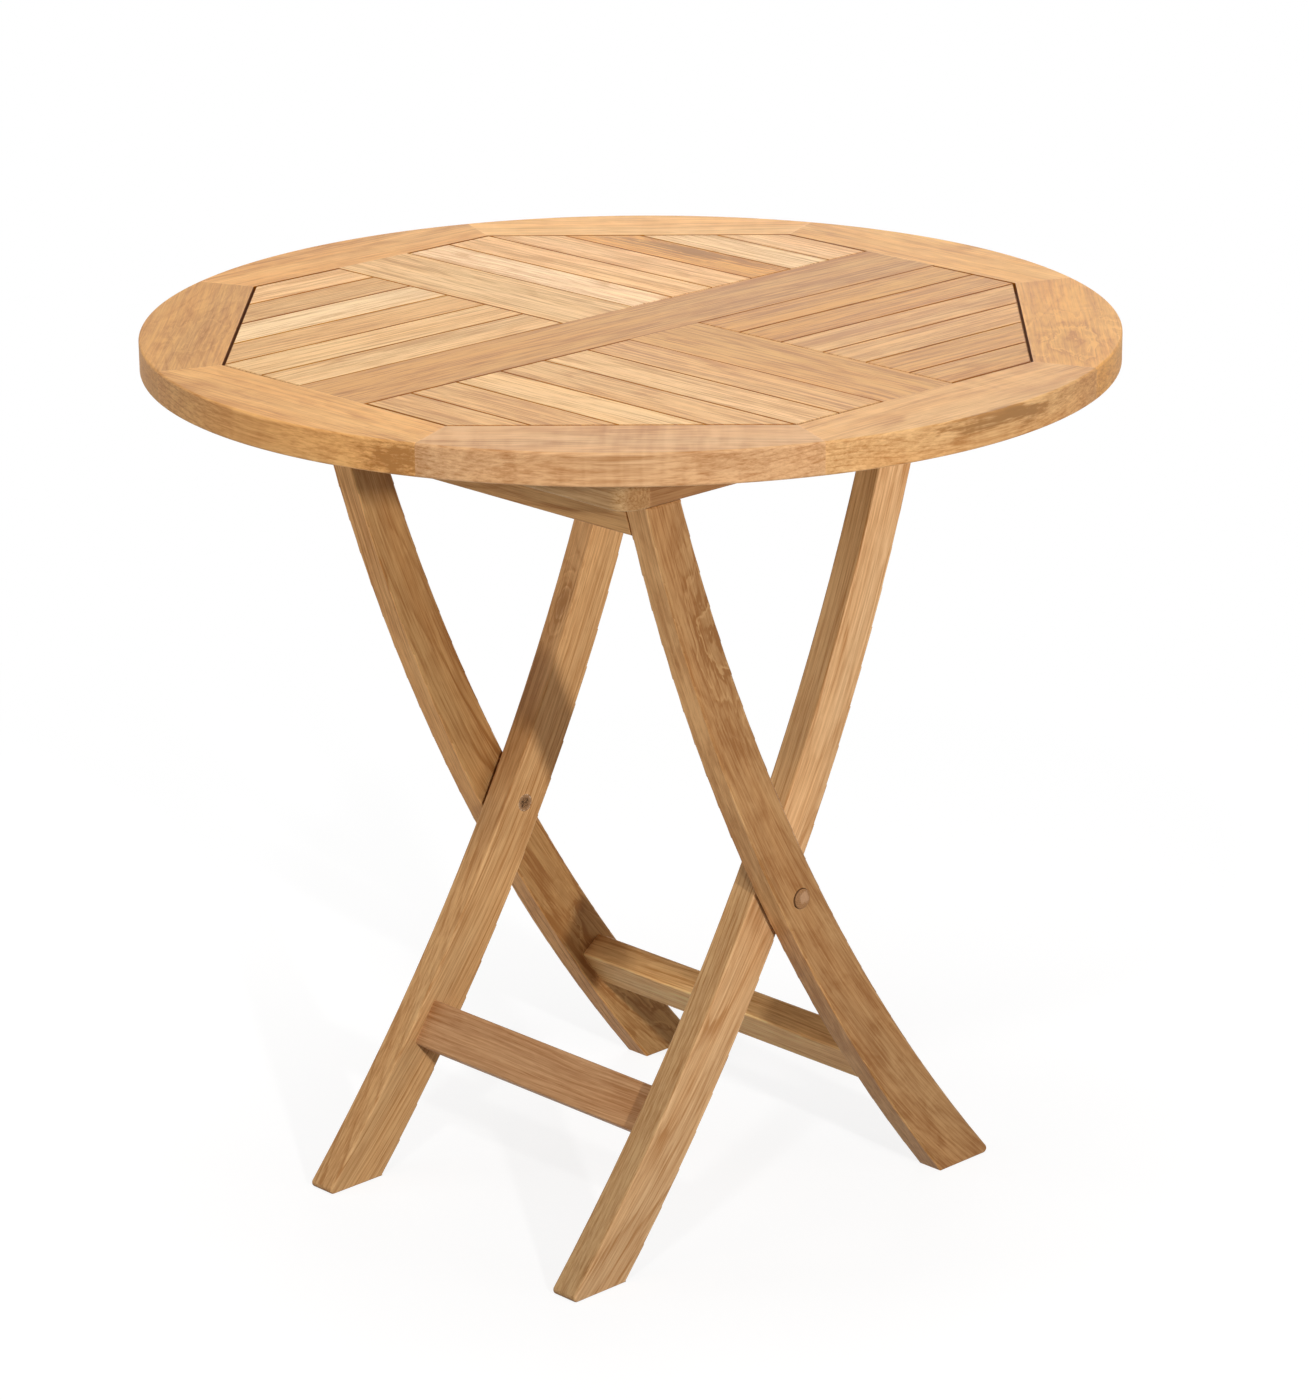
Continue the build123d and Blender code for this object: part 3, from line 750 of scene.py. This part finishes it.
def cap_points(face, side):
    """Rings of points on the torn front, then one ring on the back. face is the leg's face, as Y."""
    centre = middle("scissor_nuts")
    points = []
    for ring in range(1, CAP_RINGS + 1):
        share = ring / CAP_RINGS
        for spoke in range(CAP_SPOKES):
            turn = 2 * pi * spoke / CAP_SPOKES
            x = centre.x + CAP_RADIUS * share * cos(turn)
            z = centre.z + CAP_RADIUS * share * sin(turn)
            tear = CAP_ROUGH * noise.fractal(Vector((x, side, z)) * CAP_TEARS, 1.0, 2.0, 4)
            points.append((x, face + side * (CAP_DEPTH + abs(tear)), z))
    for x, _, z in points[-CAP_SPOKES:]:
        points.append((x, face + side * (CAP_DEPTH + CAP_THICKNESS), z))
    return points


def cap_faces():
    """The front's rings, its middle, the side and the back, as numbers of the points."""
    faces = []
    for ring in range(CAP_RINGS - 1):
        faces += band(ring * CAP_SPOKES)
    faces.append(tuple(range(CAP_SPOKES)))
    front_edge = (CAP_RINGS - 1) * CAP_SPOKES
    back_edge = CAP_RINGS * CAP_SPOKES
    faces += band(front_edge)
    faces.append(tuple(back_edge + spoke for spoke in reversed(range(CAP_SPOKES))))
    return faces


def band(inner):
    """The faces between the ring of points that starts at inner and the next ring."""
    outer = inner + CAP_SPOKES
    faces = []
    for spoke in range(CAP_SPOKES):
        after = (spoke + 1) % CAP_SPOKES
        faces.append((inner + spoke, outer + spoke, outer + after, inner + after))
    return faces


def add_cap(name, points, faces, material):
    """New piece that rides on the inner legs."""
    mesh = bpy.data.meshes.new(name)
    mesh.from_pydata(points, [], faces)
    mesh.materials.append(material)
    shape = bmesh.new()
    shape.from_mesh(mesh)
    bmesh.ops.recalc_face_normals(shape, faces=shape.faces)
    shape.to_mesh(mesh)
    shape.free()
    cap = bpy.data.objects.new(name, mesh)
    bpy.context.scene.collection.objects.link(cap)
    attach(cap, "inner_frame")


# ---------------------------------------------------------------- studio

FLOOR_GLOW = 0.84  # how much of the floor's own white the camera sees, whatever the light
FLOOR_LIT = 0.22  # how much it adds where the light falls on it, which shows the shadow
FLOOR_NEAR, FLOOR_FAR = 0.5, 1.6  # from the table's middle, where the floor fades to plain white
FLOOR_PLAIN = (0.42, 0.41, 0.4, 1)  # what the floor throws back onto the table
FLOOR_REACH = 30.0
WHITE = (1, 1, 1, 1)
SKY = (1.0, 0.985, 0.96, 1)
SKY_LEVEL = 0.12
LAMP_AIM = Vector((0, 0, 0.5))
# Each lamp's direction from there, its distance, size and level
LAMPS = {
    "low_key": ((-0.375, -1.0, 0.32), 4.5, 0.16, 0.5),
    "high_key": ((-0.57, -0.415, 0.71), 4.5, 0.3, 0.22),
    "overhead": ((0.05, 0.1, 1.0), 3.2, 2.5, 0.575),
    "right": ((0.5, -1.0, 0.12), 5.0, 1.8, 0.16),
    "left": ((-1.0, 0.2, 0.25), 5.0, 2.0, 0.11),
    "left_back": ((-0.8, 0.8, 0.3), 5.0, 2.0, 0.14),
    "rear": ((1.0, 0.8, 0.3), 5.0, 2.0, 0.12),
}
CAMERA_EYE = Vector((-2.672802, -2.804042, 1.705209))
CAMERA_YAW = radians(46.125)
CAMERA_PITCH = radians(-18.321)
CAMERA_ROLL = radians(-0.521)
FOCAL_LENGTH = 125.32  # in mm, for a sensor of SENSOR_WIDTH
SENSOR_WIDTH = 36


def seen_white(g):
    """1 for the rays that see the white surroundings: the camera's, and those of gloss and glass."""
    rays = g.add("LightPath").outputs
    mirrored = g.math("MAXIMUM", rays["Is Glossy Ray"], rays["Is Transmission Ray"])
    return g.math("MAXIMUM", rays["Is Camera Ray"], mirrored)


def build_floor():
    """Wide pale floor under the table's feet, which keeps its shadow."""
    level = cad_box[0][2]
    reach = FLOOR_REACH
    corners = [(-reach, -reach), (reach, -reach), (reach, reach), (-reach, reach)]
    mesh = bpy.data.meshes.new("floor")
    mesh.from_pydata([(x, y, level) for x, y in corners], [], [(0, 1, 2, 3)])
    floor = bpy.data.objects.new("floor", mesh)
    bpy.context.scene.collection.objects.link(floor)
    material, g = node_material("floor")
    glow = g.add("Emission", {"Color": WHITE, "Strength": FLOOR_GLOW}).outputs[0]
    lit = g.add("BsdfDiffuse", {"Color": (FLOOR_LIT, FLOOR_LIT, FLOOR_LIT, 1)}).outputs[0]
    near = g.add("AddShader", {0: glow, 1: lit}).outputs[0]
    white = g.add("Emission", {"Color": WHITE, "Strength": 1.0}).outputs[0]
    fade = g.spread(g.vector("LENGTH", g.add("TexCoord").outputs["Object"]), FLOOR_NEAR, FLOOR_FAR)
    shown = g.add("MixShader", {0: fade, 1: near, 2: white}).outputs[0]
    plain = g.add("BsdfDiffuse", {"Color": FLOOR_PLAIN}).outputs[0]
    surface = g.add("MixShader", {0: seen_white(g), 1: plain, 2: shown}).outputs[0]
    g.add("OutputMaterial", {"Surface": surface})
    mesh.materials.append(material)


def build_world():
    """White behind the object, and a soft even light on it."""
    world = bpy.data.worlds.new("studio")
    g = emptied(world)
    soft = g.add("Background", {"Color": SKY, "Strength": SKY_LEVEL}).outputs[0]
    white = g.add("Background", {"Color": WHITE, "Strength": 1.0}).outputs[0]
    surface = g.add("MixShader", {0: seen_white(g), 1: soft, 2: white}).outputs[0]
    g.add("OutputWorld", {"Surface": surface})
    bpy.context.scene.world = world


def add_lamp(name, direction, distance, size, level):
    """Square lamp that faces the table. level is how bright it makes a white surface that faces it."""
    lamp = bpy.data.lights.new(name, "AREA")
    lamp.size = size
    lamp.energy = level * pi * pi * distance**2
    obj = bpy.data.objects.new(name, lamp)
    toward = Vector(direction).normalized()
    obj.location = LAMP_AIM + distance * toward
    obj.rotation_euler = toward.to_track_quat("Z", "Y").to_euler()
    bpy.context.scene.collection.objects.link(obj)


def build_light():
    """Two small keys that cast the shadows, and large soft lamps above and around."""
    for name, lamp in LAMPS.items():
        add_lamp(name, *lamp)


def build_camera():
    """Camera at head height, with a long lens, turned down and rolled a little."""
    level_run = cos(CAMERA_PITCH)
    forward = Vector((level_run * cos(CAMERA_YAW), level_run * sin(CAMERA_YAW), sin(CAMERA_PITCH)))
    level = Vector((sin(CAMERA_YAW), -cos(CAMERA_YAW), 0))
    up = level.cross(forward)
    side = cos(CAMERA_ROLL) * level + sin(CAMERA_ROLL) * up
    top = cos(CAMERA_ROLL) * up - sin(CAMERA_ROLL) * level
    turned = Matrix((side, top, -forward)).transposed().to_4x4()
    lens = bpy.data.cameras.new("camera")
    lens.sensor_width = SENSOR_WIDTH
    lens.lens = FOCAL_LENGTH
    lens.clip_end = 100
    camera = bpy.data.objects.new("camera", lens)
    camera.matrix_world = Matrix.Translation(CAMERA_EYE) @ turned
    bpy.context.scene.collection.objects.link(camera)
    bpy.context.scene.camera = camera


dress_top()
dress_frame()
dress_fasteners()
dress_plugs()
build_caps()
build_floor()
build_world()
build_light()
build_camera()
bpy.context.scene.view_settings.view_transform = "Standard"
